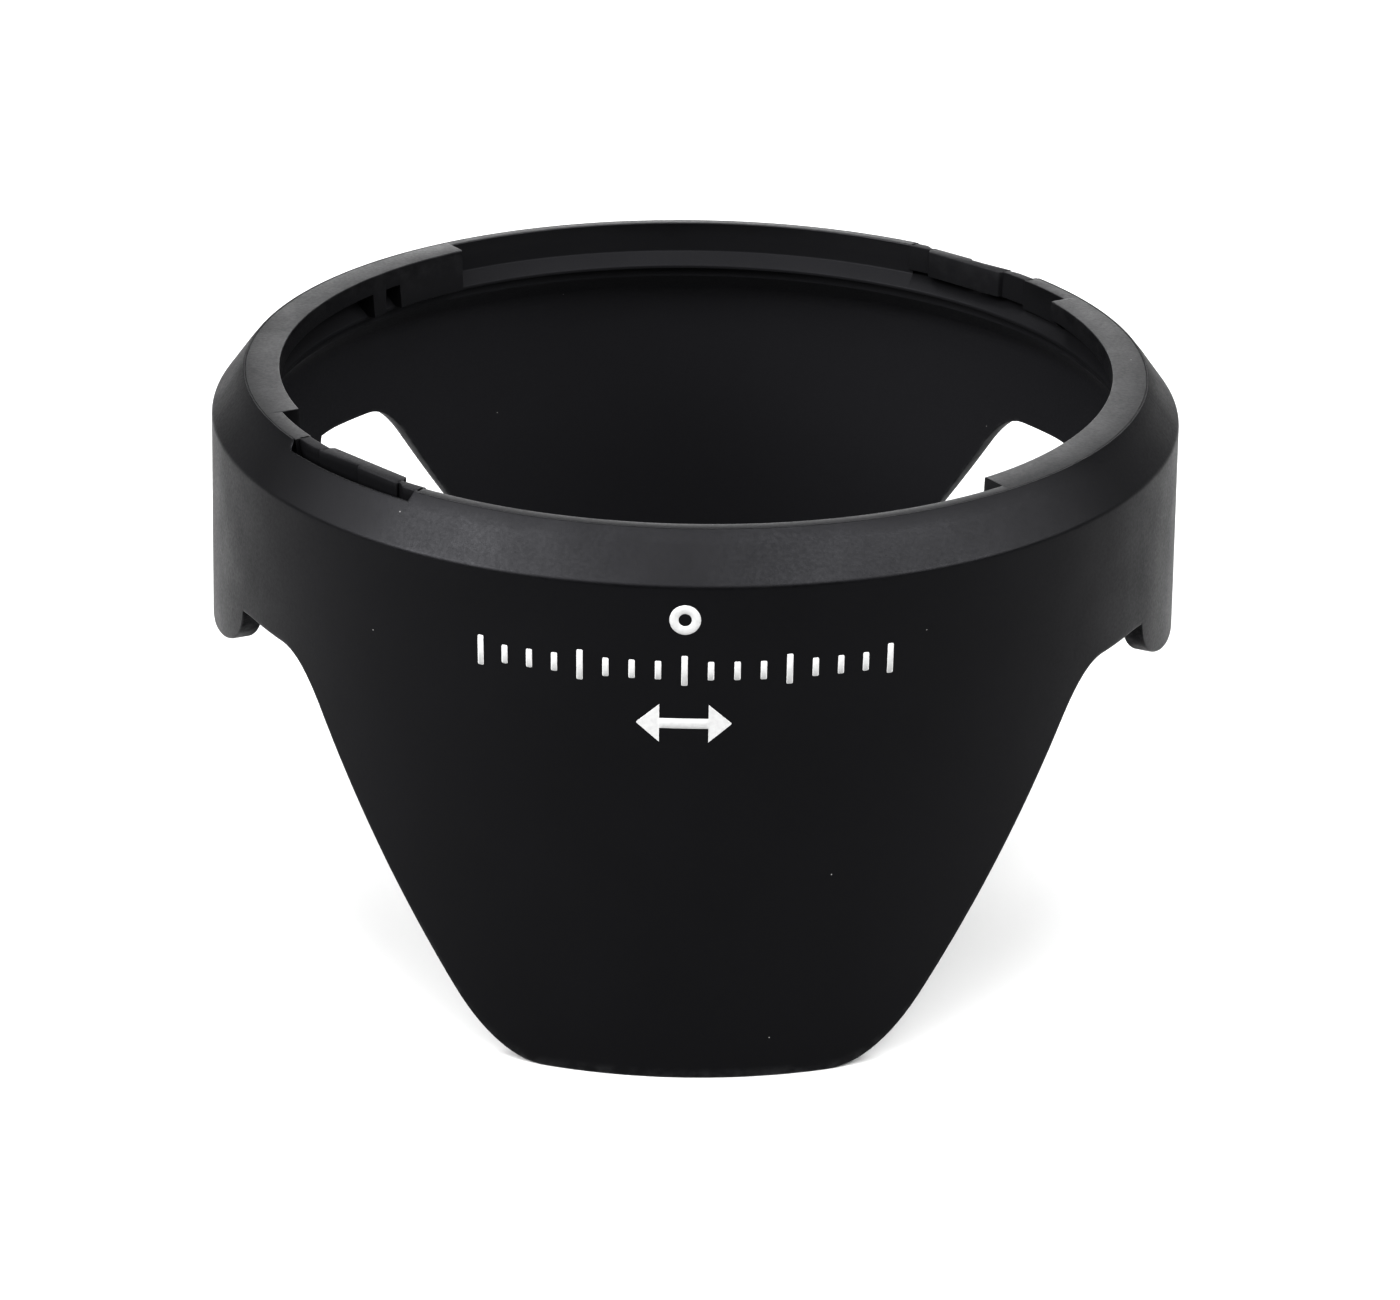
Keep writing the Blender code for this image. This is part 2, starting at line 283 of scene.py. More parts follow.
def petal_edge_depth(azimuth):
    """The depth of the petal outline: long petals at front and back, short round tabs at the sides."""
    turn = abs((azimuth + 90) % 180 - 90)
    if turn < NOTCH_MIDDLE:
        along = LONG_PETAL_CORNER - turn
        bulge = LONG_PETAL_BULGE * sin(pi * min(max(along / LONG_PETAL_REACH, 0.0), 1.0))
        side = NOTCH_DEPTH + LONG_PETAL_SLOPE * along + bulge
        petal = soft_min(side, HEIGHT, TIP_ROUNDING)
        return soft_max(petal, NOTCH_DEPTH, LONG_NOTCH_ROUNDING)
    across = (90.0 - turn) / TAB_HALF_WIDTH
    if across < 1:
        petal = NOTCH_DEPTH + TAB_LENGTH * (1 - across * across) ** TAB_FULLNESS
    else:
        petal = NOTCH_DEPTH - TAB_LENGTH * (across - 1)
    return soft_max(petal, NOTCH_DEPTH, TAB_NOTCH_ROUNDING)


def fillet(before, corner, after, radius):
    """The points of a small rounding that replaces one corner of a flat outline."""
    to_before, to_after = before - corner, after - corner
    room = FILLET_ROOM * min(to_before.length, to_after.length)
    if room < 1e-9 or radius <= 0:
        return [corner.copy()] * (FILLET_POINTS + 1)
    cut = min(radius, room)
    start = corner + to_before.normalized() * cut
    end = corner + to_after.normalized() * cut
    points = []
    for i in range(FILLET_POINTS + 1):
        t = i / FILLET_POINTS
        points.append(start * (1 - t) ** 2 + corner * (2 * t * (1 - t)) + end * t * t)
    return points


def rounded_section(corners):
    """A closed section from (radius, depth, rounding) corners, as flat points."""
    flat = [Vector((radius, depth)) for radius, depth, _ in corners]
    points = []
    for i, corner in enumerate(flat):
        points += fillet(flat[i - 1], corner, flat[(i + 1) % len(flat)], corners[i][2])
    return points


def with_rows(points, corner, rows):
    """Adds evenly spaced rows to the stretch of a rounded section that follows one corner, and two
    guard rows near each of its ends, which keep the wear on the edges narrow.

    Later corners are done first, since the added rows shift the points that follow."""
    first = (corner + 1) * (FILLET_POINTS + 1) - 1
    start, end = points[first], points[first + 1]
    shares = [i / (rows + 1) for i in range(1, rows + 1)]
    guards = [GUARD_ROW, 2 * GUARD_ROW, 1 - 2 * GUARD_ROW, 1 - GUARD_ROW]
    added = [start.lerp(end, share) for share in sorted(shares + guards)]
    return points[: first + 1] + added + points[first + 1 :]


def mesh_object(name, bm):
    """An object in the scene from a finished bmesh, shaded smooth except at its sharp edges."""
    bmesh.ops.remove_doubles(bm, verts=bm.verts, dist=MERGE_DISTANCE)
    bmesh.ops.dissolve_degenerate(bm, edges=bm.edges, dist=MERGE_DISTANCE)
    bmesh.ops.recalc_face_normals(bm, faces=bm.faces)
    mesh = bpy.data.meshes.new(name)
    bm.to_mesh(mesh)
    bm.free()
    mesh.shade_smooth()
    mesh.set_sharp_from_angle(angle=radians(SHARP_ANGLE))
    obj = bpy.data.objects.new(name, mesh)
    bpy.context.scene.collection.objects.link(obj)
    return obj


def loft(name, columns, closed=False):
    """A skin through a row of outlines with equal point counts."""
    bm = bmesh.new()
    rings = [[bm.verts.new(place) for place in column] for column in columns]
    following = rings[1:] + rings[:1] if closed else rings[1:]
    for ring, other in zip(rings, following):
        for i in range(len(ring)):
            j = (i + 1) % len(ring)
            bm.faces.new((ring[i], ring[j], other[j], other[i]))
    if not closed:
        bm.faces.new(rings[0])
        bm.faces.new(rings[-1])
    return mesh_object(name, bm)


def half_turn_azimuths(steps):
    """(azimuth, sector before, sector after, share) columns over half a turn, finer at each step
    and graded next to it, so that the shading runs on evenly.

    A step is (azimuth, sector that starts there, width of the rounded change)."""
    columns = []
    previous = steps[-1][1]
    following = (*steps[1:], (steps[0][0] + 180, *steps[0][1:]))
    for (start, kind, width), (end, _, end_width) in zip(steps, following):
        for i in range(STEP_COLUMNS + 1):
            t = i / STEP_COLUMNS
            columns.append((start + (t - 0.5) * width, previous, kind, smooth_step(t)))
        first, last = start + width / 2, end - end_width / 2
        inner_first, inner_last = first + GRADING[-1], last - GRADING[-1]
        count = max(1, round((inner_last - inner_first) / COLUMN_STEP))
        places = [first + offset for offset in GRADING]
        places += [inner_first + (inner_last - inner_first) * i / count for i in range(1, count)]
        places += [last - offset for offset in reversed(GRADING)]
        columns += [(place, kind, kind, 0.0) for place in places]
        previous = kind
    return columns


def turned_skin(name, steps, section):
    """A skin whose section changes from sector to sector, each change being a small rounded step."""
    columns = []
    for half_turn in (0.0, 180.0):
        for azimuth, before, after, share in half_turn_azimuths(steps):
            whole = azimuth + half_turn
            first, second = section(whole, before), section(whole, after)
            flat = [a.lerp(b, share) for a, b in zip(first, second)]
            columns.append([point(whole, p.x, p.y) for p in flat])
    return loft(name, columns, closed=True)


# ---------------------------------------------------------------- materials

def new_material(name):
    material = bpy.data.materials.new(name)
    material.use_nodes = True
    return material, material.node_tree.nodes, material.node_tree.links


def noise(nodes, links, coordinates, scale, detail, roughness=0.5):
    texture = nodes.new("ShaderNodeTexNoise")
    texture.inputs["Scale"].default_value = scale
    texture.inputs["Detail"].default_value = detail
    texture.inputs["Roughness"].default_value = roughness
    links.new(coordinates, texture.inputs["Vector"])
    return texture.outputs["Fac"]


def ramp(nodes, links, value, low, high, first, last):
    """Maps a value from low..high to first..last."""
    mapping = nodes.new("ShaderNodeMapRange")
    mapping.inputs["From Min"].default_value = low
    mapping.inputs["From Max"].default_value = high
    mapping.inputs["To Min"].default_value = first
    mapping.inputs["To Max"].default_value = last
    links.new(value, mapping.inputs["Value"])
    return mapping.outputs["Result"]


def attribute(nodes, name):
    node = nodes.new("ShaderNodeAttribute")
    node.attribute_name = name
    return node.outputs["Fac"]


def maths(nodes, links, operation, first, second):
    """A sum, product or comparison of two sockets or numbers."""
    node = nodes.new("ShaderNodeMath")
    node.operation = operation
    for socket, value in zip(node.inputs, (first, second)):
        if isinstance(value, float):
            socket.default_value = value
        else:
            links.new(value, socket)
    return node.outputs["Value"]


def dust_specks(nodes, links, place):
    """A mask of a few tiny specks: the hearts of sparse cells."""
    cells = nodes.new("ShaderNodeTexVoronoi")
    cells.inputs["Scale"].default_value = DUST_SCALE
    links.new(place, cells.inputs["Vector"])
    speck = ramp(nodes, links, cells.outputs["Distance"], *DUST_SPECK_SIZE, 1.0, 0.0)
    split = nodes.new("ShaderNodeSeparateColor")
    links.new(cells.outputs["Color"], split.inputs["Color"])
    chosen = maths(nodes, links, "GREATER_THAN", split.outputs["Red"], DUST_FREE_SHARE)
    return maths(nodes, links, "MULTIPLY", speck, chosen)


def mix_colour(nodes, links, share, first, second):
    """A mix of two colours, each a socket or a tuple, from the first at 0 to the second at 1."""
    mix = nodes.new("ShaderNodeMix")
    mix.data_type = "RGBA"
    links.new(share, mix.inputs["Factor"])
    for socket, colour in (("A", first), ("B", second)):
        target = [s for s in mix.inputs if s.name == socket and s.type == "RGBA"][0]
        if isinstance(colour, tuple):
            target.default_value = (*colour, 1.0)
        else:
            links.new(colour, target)
    return [s for s in mix.outputs if s.type == "RGBA"][0]


def moulded_plastic(name, outside, inside, roughness, matt_roughness, grain, specular, matt_specular):
    """Satin moulded plastic. The attribute "matt" marks the dull inner walls and "wear" the edges."""
    material, nodes, links = new_material(name)
    shader = nodes["Principled BSDF"]
    place = nodes.new("ShaderNodeTexCoord").outputs["Object"]
    matt = attribute(nodes, "matt")
    wear = attribute(nodes, "wear")

    # Tone: faint clouds, greyer scuffs where the edges are worn, and a few specks of dust
    clouds = ramp(nodes, links, noise(nodes, links, place, CLOUD_SCALE, 3.0), 0.35, 0.65, 0.0, 1.0)
    darker = tuple(CLOUD_DARKENING * c for c in outside)
    tone = mix_colour(nodes, links, clouds, darker, outside)
    tone = mix_colour(nodes, links, matt, tone, inside)
    scratches = noise(nodes, links, place, SCUFF_SCALE, 4.0, 0.7)
    scuffs = ramp(nodes, links, scratches, 0.42, 0.62, 0.0, 1.0)
    worn = maths(nodes, links, "MULTIPLY", scuffs, wear)
    tone = mix_colour(nodes, links, worn, tone, WORN_COLOUR)
    tone = mix_colour(nodes, links, dust_specks(nodes, links, place), tone, DUST_COLOUR)
    links.new(tone, shader.inputs["Base Color"])

    # Gloss: uneven on the scale of the grain and of fingers, duller inside
    fine = noise(nodes, links, place, GRAIN_SCALE, 3.0, 0.6)
    fingers = noise(nodes, links, place, SMUDGE_SCALE, 2.0)
    grainy = ramp(nodes, links, fine, 0.3, 0.7, roughness - GRAIN_GLOSS, roughness + GRAIN_GLOSS)
    smudges = ramp(nodes, links, fingers, 0.3, 0.7, -SMUDGE_GLOSS, SMUDGE_GLOSS)
    gloss = maths(nodes, links, "ADD", grainy, smudges)
    dull = ramp(nodes, links, matt, 0.0, 1.0, 0.0, matt_roughness - roughness)
    links.new(maths(nodes, links, "ADD", gloss, dull), shader.inputs["Roughness"])
    shine = ramp(nodes, links, matt, 0.0, 1.0, specular, matt_specular)
    links.new(shine, shader.inputs["Specular IOR Level"])
    shader.inputs["Specular Tint"].default_value = (*COOL_TINT, 1.0)

    # Relief: the fine grain of a spark-eroded mould, over slow waviness
    waviness = noise(nodes, links, place, WAVINESS_SCALE, 2.0)
    height = maths(nodes, links, "ADD", fine, waviness)
    bump = nodes.new("ShaderNodeBump")
    bump.inputs["Distance"].default_value = grain
    links.new(height, bump.inputs["Height"])
    links.new(bump.outputs["Normal"], shader.inputs["Normal"])
    return material


def printed_ink(name):
    """Pad-printed white ink: almost opaque, a little uneven in cover."""
    material, nodes, links = new_material(name)
    shader = nodes["Principled BSDF"]
    place = nodes.new("ShaderNodeTexCoord").outputs["Object"]
    cover = noise(nodes, links, place, INK_GRAIN_SCALE, 3.0, 0.6)
    share = ramp(nodes, links, cover, 0.3, 0.6, 0.0, 1.0)
    colour = mix_colour(nodes, links, share, INK_THIN_COLOUR, INK_FULL_COLOUR)
    links.new(colour, shader.inputs["Base Color"])
    shader.inputs["Roughness"].default_value = 0.55
    bump = nodes.new("ShaderNodeBump")
    bump.inputs["Distance"].default_value = INK_GRAIN
    links.new(cover, bump.inputs["Height"])
    links.new(bump.outputs["Normal"], shader.inputs["Normal"])
    return material


def no_wear(azimuth, radius, depth):
    return 0.0


def mark(obj, name, amount):
    """Stores a value at each point, amount(azimuth, radius, depth), for the material to read."""
    values = obj.data.attributes.new(name, "FLOAT", "POINT").data
    for vertex, value in zip(obj.data.vertices, values):
        azimuth = degrees(atan2(vertex.co.x, -vertex.co.y))
        value.value = amount(azimuth, hypot(vertex.co.x, vertex.co.y), HEIGHT - vertex.co.z)


def finish_piece(obj, material, body, nodes):
    """Gives a piece its material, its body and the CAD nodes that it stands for."""
    obj.data.materials.append(material)
    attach(obj, body)
    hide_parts(*nodes)


# ---------------------------------------------------------------- pieces

def shell_section(azimuth, kind):
    """The shell's section at one azimuth: plain, or with the relief behind a tongue."""
    edge = petal_edge_depth(azimuth)
    top_radius = RELIEF_RADIUS if kind == "relief" else SEAT_RADIUS
    slope = (BARREL_RADIUS - CHAMFER_TOP_RADIUS) / CHAMFER_DEPTH
    rim_radius = max(top_radius + LEAST_RIM_WIDTH, CHAMFER_TOP_RADIUS - RIM_INSET)
    rim_depth = max(0.0, (rim_radius - CHAMFER_TOP_RADIUS) / slope)
    corners = (
        (rim_radius, rim_depth, RIM_ROUNDING),
        (CHAMFER_ROW_RADIUS, (CHAMFER_ROW_RADIUS - CHAMFER_TOP_RADIUS) / slope, 0.0),
        (BARREL_RADIUS, CHAMFER_DEPTH, CHAMFER_FOOT_ROUNDING),
        (barrel_radius(edge), edge, PETAL_EDGE_ROUNDING),
        (barrel_radius(edge) - WALL, edge, PETAL_EDGE_ROUNDING),
        (barrel_radius(WALL_TOP_DEPTH) - WALL, WALL_TOP_DEPTH, UNDERSIDE_ROUNDING),
        (LIP_RADIUS, LIP_BOTTOM_DEPTH, EDGE_ROUNDING),
        (LIP_RADIUS, SEAT_DEPTH, FINE_ROUNDING),
        (SEAT_RADIUS, SEAT_DEPTH, SEAM_ROUNDING),
        (SEAT_RADIUS, RELIEF_DEPTH, FINE_ROUNDING),
        (top_radius, RELIEF_DEPTH, FINE_ROUNDING),
        (top_radius, rim_depth, 0.0),
    )
    points = rounded_section(corners)
    # The stretches that follow the petal's inner edge, the chamfer's foot and the chamfer's row
    for corner, rows in ((4, INNER_WALL_ROWS), (2, BARREL_ROWS), (1, CHAMFER_ROWS)):
        points = with_rows(points, corner, rows)
    return points


def shell_wear(azimuth, radius, depth):
    """Handling polishes the petal edges."""
    return max(0.0, 1 - abs(petal_edge_depth(azimuth) - depth) / PETAL_WEAR_REACH)


def shell_matt(azimuth, radius, depth):
    """The inner wall is dull, so that no stray light reaches the lens."""
    shiny_radius = barrel_radius(depth) - WALL_SHINE_SHARE * WALL
    into_wall = (shiny_radius - radius) / (WALL_CHANGE_SHARE * WALL)
    return smooth_step(into_wall) if depth > LIP_BOTTOM_DEPTH - WALL_MATT_MARGIN else 0.0


def petal_shell(material):
    steps = (
        (SLOT_START, "relief", ROUND_END_WIDTH),
        (SLOT_END, "plain", STEP_WIDTH),
        (180 + TAB_START, "plain", TAB_START_WIDTH),
        (360 - TAB_START, "plain", TAB_START_WIDTH),
    )
    shell = turned_skin("petal_shell_skin", steps, shell_section)
    mark(shell, "wear", shell_wear)
    mark(shell, "matt", shell_matt)
    finish_piece(shell, material, "hood", ["petal_shell"])


def ring_section(azimuth, kind):
    """The bayonet ring's section in one kind of sector. It is the same at every azimuth there."""
    top_depth = 0.0
    inner_radius, shelf_radius = GROOVE_RADIUS, GROOVE_RADIUS
    shelf_depth, lug_bottom = LEDGE_OUTER_DEPTH, LUG_THICKNESS
    if kind in ("lug", "stop"):
        inner_radius = LUG_RADIUS
    if kind == "stop":
        shelf_radius, shelf_depth, lug_bottom = LEDGE_RADIUS, LEDGE_INNER_DEPTH, LEDGE_INNER_DEPTH
    if kind == "anchor":
        inner_radius, lug_bottom = ANCHOR_RADIUS, LEDGE_OUTER_DEPTH
    if kind == "slot":
        top_depth, lug_bottom = LEDGE_OUTER_DEPTH, LEDGE_OUTER_DEPTH
    corners = (
        (RING_OUTER_RADIUS, top_depth, SEAM_ROUNDING),
        (inner_radius, top_depth, EDGE_ROUNDING),
        (inner_radius, lug_bottom, EDGE_ROUNDING),
        (shelf_radius, lug_bottom, FINE_ROUNDING),
        (shelf_radius, shelf_depth, EDGE_ROUNDING),
        (LEDGE_RADIUS, LEDGE_INNER_DEPTH, EDGE_ROUNDING),
        (LEDGE_RADIUS, RING_DEPTH, RING_INNER_FOOT_ROUNDING),
        (RING_OUTER_RADIUS, RING_DEPTH, RING_OUTER_FOOT_ROUNDING),
    )
    return rounded_section(corners)


def ring_wear(azimuth, radius, depth):
    """The top edges of the lugs rub against the lens."""
    return LUG_WEAR * max(0.0, 1 - hypot(radius - LUG_RADIUS, depth) / LUG_WEAR_REACH)


def ring_matt(azimuth, radius, depth):
    """Below its top face the ring has the dull finish of the inside."""
    return smooth_step((depth - RING_SHINE_DEPTH) / RING_CHANGE_DEPTH)


def flexure_matt(azimuth, radius, depth):
    """The thin flexures came out of the mould duller than the mount face."""
    return max(FLEXURE_DULLNESS, ring_matt(azimuth, radius, depth))


def bayonet_ring(material):
    steps = (
        (LUG_START, "stop", STEP_WIDTH),
        (STOP_END, "lug", STEP_WIDTH),
        (RIB_START, "stop", STEP_WIDTH),
        (RIB_END, "lug", STEP_WIDTH),
        (LUG_END, "anchor", STEP_WIDTH),
        (SLOT_START, "slot", STEP_WIDTH),
        (SLOT_END, "entry", STEP_WIDTH),
    )
    ring = turned_skin("bayonet_ring_skin", steps, ring_section)
    mark(ring, "wear", ring_wear)
    mark(ring, "matt", ring_matt)
    finish_piece(ring, material, "hood", ["bayonet_ring"])


def arm_section(azimuth, inner_radius, outer_radius):
    corners = (
        (outer_radius, 0.0, FLEXURE_ROUNDING),
        (inner_radius, 0.0, FLEXURE_ROUNDING),
        (inner_radius, TONGUE_DEPTH, FLEXURE_ROUNDING),
        (outer_radius, TONGUE_DEPTH, FLEXURE_ROUNDING),
    )
    return [point(azimuth, p.x, p.y) for p in rounded_section(corners)]


def flex_arm(kind, side, root, tip, inner_radius, root_outer, half_turn, material):
    """A thin strip from the ring to the tongue. On the hood it bends between them when the tongue
    springs; here it is one fixed mesh, which nothing bends.
    """
    columns = []
    for i in range(ARM_COLUMNS + 1):
        share = i / ARM_COLUMNS
        taper = smooth_step((share - ARM_TAPER_START) / ARM_TAPER_LENGTH)
        outer = root_outer + (ARM_TIP_OUTER - root_outer) * taper
        azimuth = root + (tip - root) * share + half_turn
        columns.append(arm_section(azimuth, inner_radius, outer))
    node = kind + "_flex_arm_" + side
    arm = loft(node + "_skin", columns)
    mark(arm, "wear", no_wear)
    mark(arm, "matt", flexure_matt)
    arm.data.materials.append(material)
    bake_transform(arm)
    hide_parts(node)


def tongue_outline():
    """The tongue's plan as (along, radius): a small step half way along its back, and a short
    ramp at each end of the face that meets the lens."""
    foot = LONG_ARM_RADIUS - TONGUE_FOOT_DROP
    return (
        (-TONGUE_HALF_LENGTH, TONGUE_OUTER),
        (TONGUE_STEP_START, TONGUE_OUTER - 0.8 * TONGUE_BACK_STEP),
        (TONGUE_STEP_END, TONGUE_OUTER + 0.2 * TONGUE_BACK_STEP),
        (TONGUE_HALF_LENGTH, TONGUE_OUTER),
        (TONGUE_HALF_LENGTH, foot),
        (TONGUE_HALF_LENGTH - TONGUE_RAMP, TONGUE_INNER),
        (-TONGUE_HALF_LENGTH + TONGUE_RAMP, TONGUE_INNER),
        (-TONGUE_HALF_LENGTH, foot),
    )


def tongue_wear(azimuth, radius, depth):
    """The lens's tab polishes the face that it clicks past."""
    return TONGUE_WEAR if radius < LONG_ARM_RADIUS else 0.0


def detent_tongue(side, half_turn, material):
    """The thick flat bar that clicks over the lens's tab."""
    bm = bmesh.new()
    top = [bm.verts.new((along, -radius, HEIGHT)) for along, radius in tongue_outline()]
    base = bm.faces.new(top)
    made = bmesh.ops.extrude_face_region(bm, geom=[base])
    moved = [item for item in made["geom"] if isinstance(item, bmesh.types.BMVert)]
    bmesh.ops.translate(bm, verts=moved, vec=-UP * TONGUE_DEPTH)
    bmesh.ops.recalc_face_normals(bm, faces=bm.faces)
    bmesh.ops.bevel(
        bm,
        geom=list(bm.edges),
        offset=FLEXURE_ROUNDING,
        segments=BEVEL_SEGMENTS,
        profile=0.5,
        affect="EDGES",
    )
    tongue = mesh_object("detent_tongue_" + side + "_skin", bm)
    tongue.data.transform(Matrix.Rotation(radians(TONGUE_AZIMUTH + half_turn), 4, "Z"))
    mark(tongue, "wear", tongue_wear)
    mark(tongue, "matt", flexure_matt)
    finish_piece(tongue, material, "tongue_" + side, ["detent_tongue_" + side])


def detent(side, half_turn, material):
    """A tongue and its two arms, whose ends run a little way into the ring and the tongue."""
    embedding = degrees(ARM_EMBEDDING / GROOVE_RADIUS)
    half_span = degrees(atan2(TONGUE_HALF_LENGTH, TONGUE_INNER))
    long_tip = TONGUE_AZIMUTH - half_span + embedding
    short_tip = TONGUE_AZIMUTH + half_span - embedding
    long_arm = (SLOT_START - embedding, long_tip, LONG_ARM_RADIUS, LONG_ARM_OUTER)
    short_arm = (SLOT_END + embedding, short_tip, SHORT_ARM_RADIUS, SHORT_ARM_OUTER)
    detent_tongue(side, half_turn, material)
    flex_arm("long", side, *long_arm, half_turn, material)
    flex_arm("short", side, *short_arm, half_turn, material)


# ---------------------------------------------------------------- print

def ink_point(along, down, height):
    """A point of a printed mark: its place on the barrel's skin, and its height above the skin."""
    radius = barrel_radius(down)
    azimuth = PRINT_AZIMUTH + degrees(along / radius)
    return point(azimuth, radius + INK_GAP + height, down)


def ink_strip(name, stations):
    """A mark given as (distance along, middle depth, half width) stations, with soft ink edges."""
    columns = []
    for along, middle, half_width in stations:
        edge = min(INK_EDGE, half_width / 2)
        profile = (
            (middle - half_width, 0.0),
            (middle + half_width, 0.0),
            (middle + half_width, INK_BRIM),
            (middle + half_width - edge, INK_THICKNESS),
            (middle - half_width + edge, INK_THICKNESS),
            (middle - half_width, INK_BRIM),
        )
        columns.append([ink_point(along, down, height) for down, height in profile])
    return loft(name, columns)


def ink_piece(obj, node, material):
    finish_piece(obj, material, "hood", [node])


def index_ring_mark(material):
    """The printed ring that lines up with the lens's own mark."""
    profile = (
        (INDEX_INNER_RADIUS, 0.0),
        (INDEX_OUTER_RADIUS, 0.0),
        (INDEX_OUTER_RADIUS, INK_BRIM),
        (INDEX_OUTER_RADIUS - INK_EDGE, INK_THICKNESS),
        (INDEX_INNER_RADIUS + INK_EDGE, INK_THICKNESS),
        (INDEX_INNER_RADIUS, INK_BRIM),
    )
    columns = []
    for i in range(INDEX_SIDES):
        turn = 2 * pi * i / INDEX_SIDES
        column = []
        for radius, height in profile:
            column.append(ink_point(radius * cos(turn), INDEX_DEPTH + radius * sin(turn), height))
        columns.append(column)
    ink_piece(loft("index_ring_ink", columns, closed=True), "index_ring_mark", material)


def scale_ticks(material):
    """A row of ink bars with rounded ends: a generic scale, with no numbers."""
    shares = [-share for share in TICK_CORNER_SHARES] + list(reversed(TICK_CORNER_SHARES))
    for i in range(SCALE_TICKS):
        place = i - SCALE_TICKS // 2
        length = SHORT_TICK if place % TICKS_PER_LONG_TICK else LONG_TICK
        middle = radians(place * SCALE_PITCH) * barrel_radius(SCALE_DEPTH)
        stations = []
        for share in shares:
            inset = (abs(share) - TICK_STRAIGHT_SHARE) / (1 - TICK_STRAIGHT_SHARE)
            half_width = length / 2 - TICK_CORNER * (1 - sqrt(1 - inset * inset))
            stations.append((middle + share * TICK_WIDTH / 2, SCALE_DEPTH, half_width))
        node = f"scale_tick_{i + 1:02d}"
        ink_piece(ink_strip(node + "_ink", stations), node, material)


def twist_arrow_mark(material):
    """A two-headed arrow: the hood twists on and off."""
    neck = ARROW_HALF_LENGTH - ARROW_HEAD_LENGTH
    steps = ARROW_SHAFT_STEPS
    half = [(neck * i / steps, ARROW_SHAFT_HALF_WIDTH) for i in range(steps + 1)]
    for i in range(ARROW_HEAD_STEPS + 1):
        t = i / ARROW_HEAD_STEPS
        along = neck + ARROW_HEAD_LENGTH * t
        width = ARROW_HEAD_HALF_WIDTH + (ARROW_TIP_HALF_WIDTH - ARROW_HEAD_HALF_WIDTH) * t
        half.append((along, width))
    outline = [(-along, width) for along, width in reversed(half[1:])] + half
    stations = [(along, ARROW_DEPTH, width) for along, width in outline]
    ink_piece(ink_strip("twist_arrow_ink", stations), "twist_arrow_mark", material)


# ---------------------------------------------------------------- studio

def camera():
    """Looks down at the front of the hood from the distance and angle of a tabletop photograph."""
    elevation = radians(CAMERA_ELEVATION)
    centre = Vector((0, 0, HEIGHT))
    place = centre + Vector((0, -cos(elevation), sin(elevation))) * CAMERA_DISTANCE
    aim = Vector((AIM_RIGHT, 0, HEIGHT - AIM_DEPTH))
    back = (place - aim).normalized()
    right = UP.cross(back).normalized()
    turn = Matrix((right, back.cross(right), back)).transposed()
    data = bpy.data.cameras.new("camera")
    data.lens = FOCAL_LENGTH
    data.sensor_width = SENSOR_WIDTH
    data.clip_start = 0.01
    data.clip_end = 20.0
    obj = bpy.data.objects.new("camera", data)
    bpy.context.scene.collection.objects.link(obj)
    rolled = turn.to_4x4() @ Matrix.Rotation(radians(CAMERA_ROLL), 4, "Z")
    obj.matrix_world = Matrix.Translation(place) @ rolled
    bpy.context.scene.camera = obj


def softbox(name, azimuth, elevation, width, height, radiance):
    """A rectangular light that faces the hood from LIGHT_DISTANCE away."""
    turn, tilt = radians(azimuth), radians(elevation)
    outwards = Vector((sin(turn) * cos(tilt), -cos(turn) * cos(tilt), sin(tilt)))
    data = bpy.data.lights.new(name, "AREA")
    data.shape = "RECTANGLE"
    data.size = width
    data.size_y = height
    data.energy = radiance * pi * width * height
    obj = bpy.data.objects.new(name, data)
    bpy.context.scene.collection.objects.link(obj)
    obj.location = Vector((0, 0, HEIGHT * LIGHT_AIM_SHARE)) + outwards * LIGHT_DISTANCE
    obj.rotation_mode = "QUATERNION"
    obj.rotation_quaternion = outwards.to_track_quat("Z", "Y")
    obj.visible_camera = False


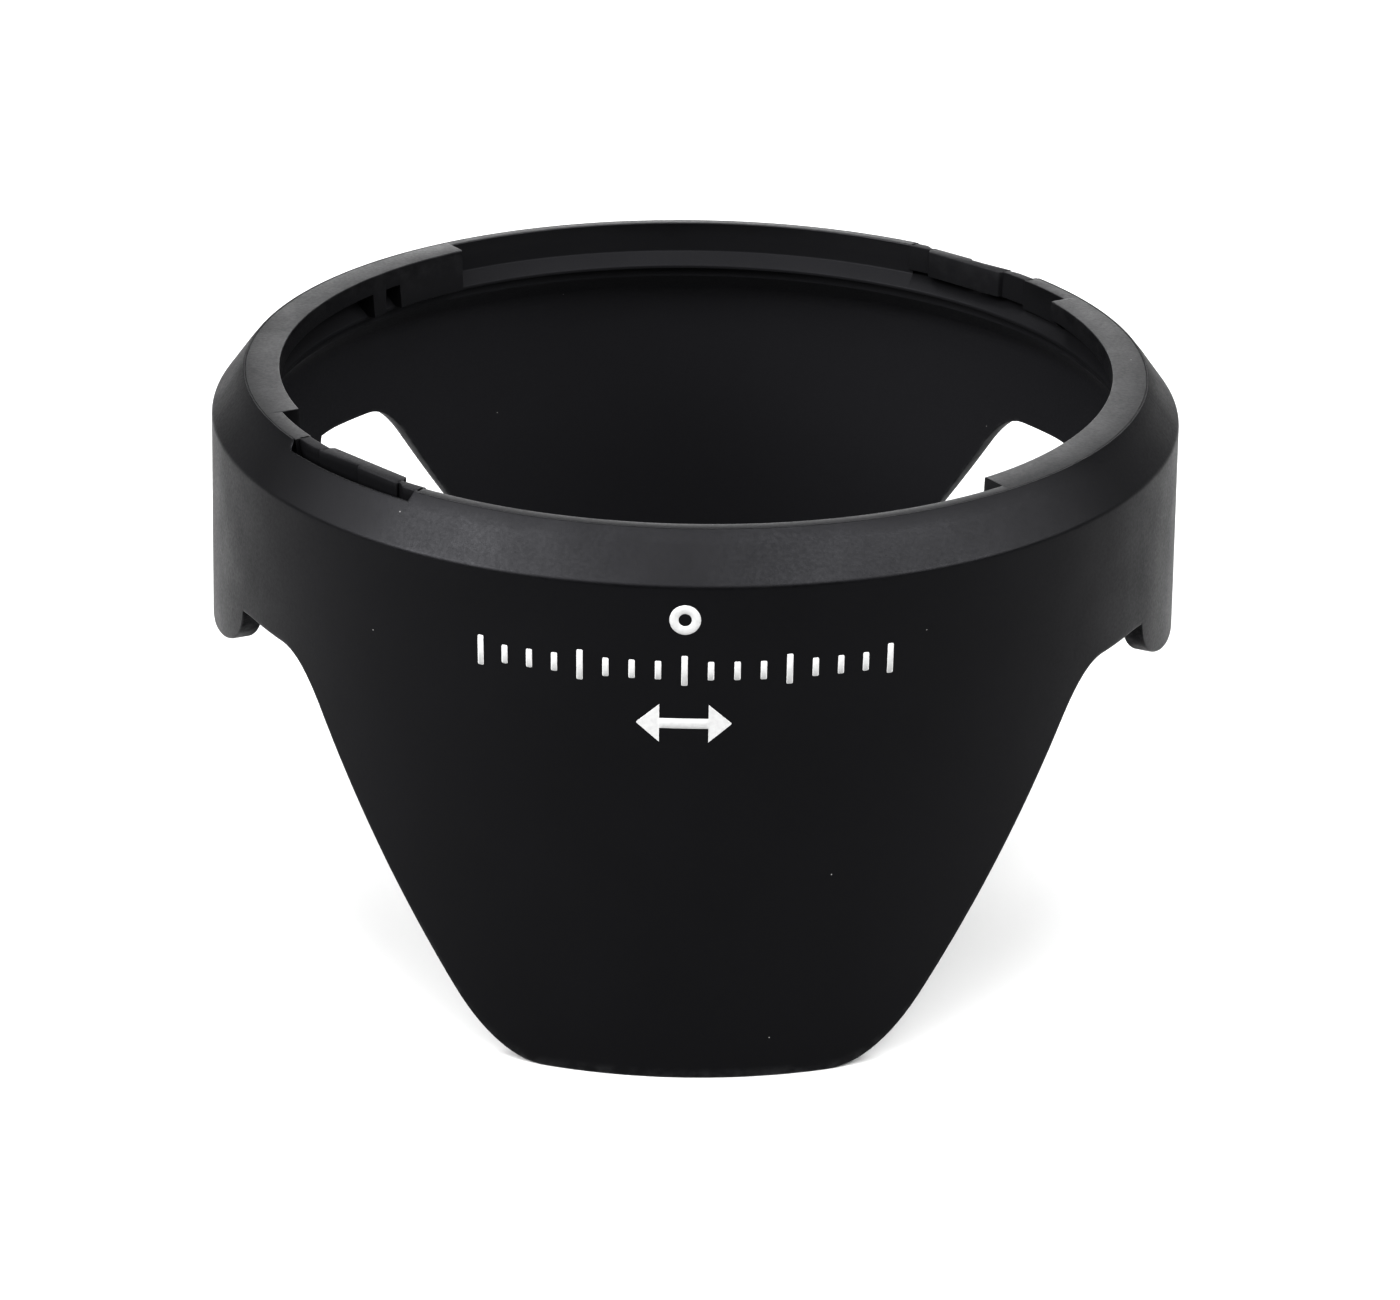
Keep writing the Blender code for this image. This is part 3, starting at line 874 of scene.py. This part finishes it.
def floor():
    """A small grey table top. The lights bring it to white, and it is small because its far part
    would darken the horizon."""
    bm = bmesh.new()
    bmesh.ops.create_grid(bm, x_segments=8, y_segments=8, size=FLOOR_HALF_SIZE)
    ground = mesh_object("floor", bm)
    material, nodes, links = new_material("floor_white")
    shader = nodes["Principled BSDF"]
    place = nodes.new("ShaderNodeTexCoord").outputs["Object"]
    share = noise(nodes, links, place, FLOOR_CLOUD_SCALE, 2.0)
    lighter = tuple(FLOOR_LIGHTENING * c for c in FLOOR_COLOUR)
    colour = mix_colour(nodes, links, share, FLOOR_COLOUR, lighter)
    links.new(colour, shader.inputs["Base Color"])
    shader.inputs["Roughness"].default_value = 0.9
    shader.inputs["Specular IOR Level"].default_value = 0.0
    ground.data.materials.append(material)


def studio():
    """A strong softbox from the left, a weaker one from the right, a dim one beside each, a bank
    overhead in front, dim low panels behind, which the rim reflects, and two more above them. The
    backdrop is white to the camera only, so it adds no light."""
    scene = bpy.context.scene
    scene.view_settings.view_transform = "Standard"
    scene.view_settings.look = "High Contrast"
    world = bpy.data.worlds.new("studio")
    scene.world = world
    world.use_nodes = True
    background = world.node_tree.nodes["Background"]
    background.inputs["Color"].default_value = (1, 1, 1, 1)
    background.inputs["Strength"].default_value = BACKGROUND_BRIGHTNESS
    world.cycles_visibility.diffuse = False
    world.cycles_visibility.glossy = False
    for name, *setting in SOFTBOXES:
        softbox(name, *setting)
    floor()
    camera()


shell_black = moulded_plastic(
    "shell_black",
    outside=(0.0018, 0.0018, 0.0022),
    inside=(0.0085, 0.0085, 0.0095),
    roughness=0.42,
    matt_roughness=0.62,
    grain=0.002 * MM,
    specular=0.18,
    matt_specular=0.16,
)
ring_black = moulded_plastic(
    "ring_black",
    outside=(0.004, 0.004, 0.0044),
    inside=(0.007, 0.007, 0.0077),
    roughness=0.40,
    matt_roughness=0.55,
    grain=0.0004 * MM,
    specular=0.25,
    matt_specular=0.12,
)
white_ink = printed_ink("white_ink")
petal_shell(shell_black)
bayonet_ring(ring_black)
detent("right", 0.0, ring_black)
detent("left", 180.0, ring_black)
index_ring_mark(white_ink)
scale_ticks(white_ink)
twist_arrow_mark(white_ink)
studio()
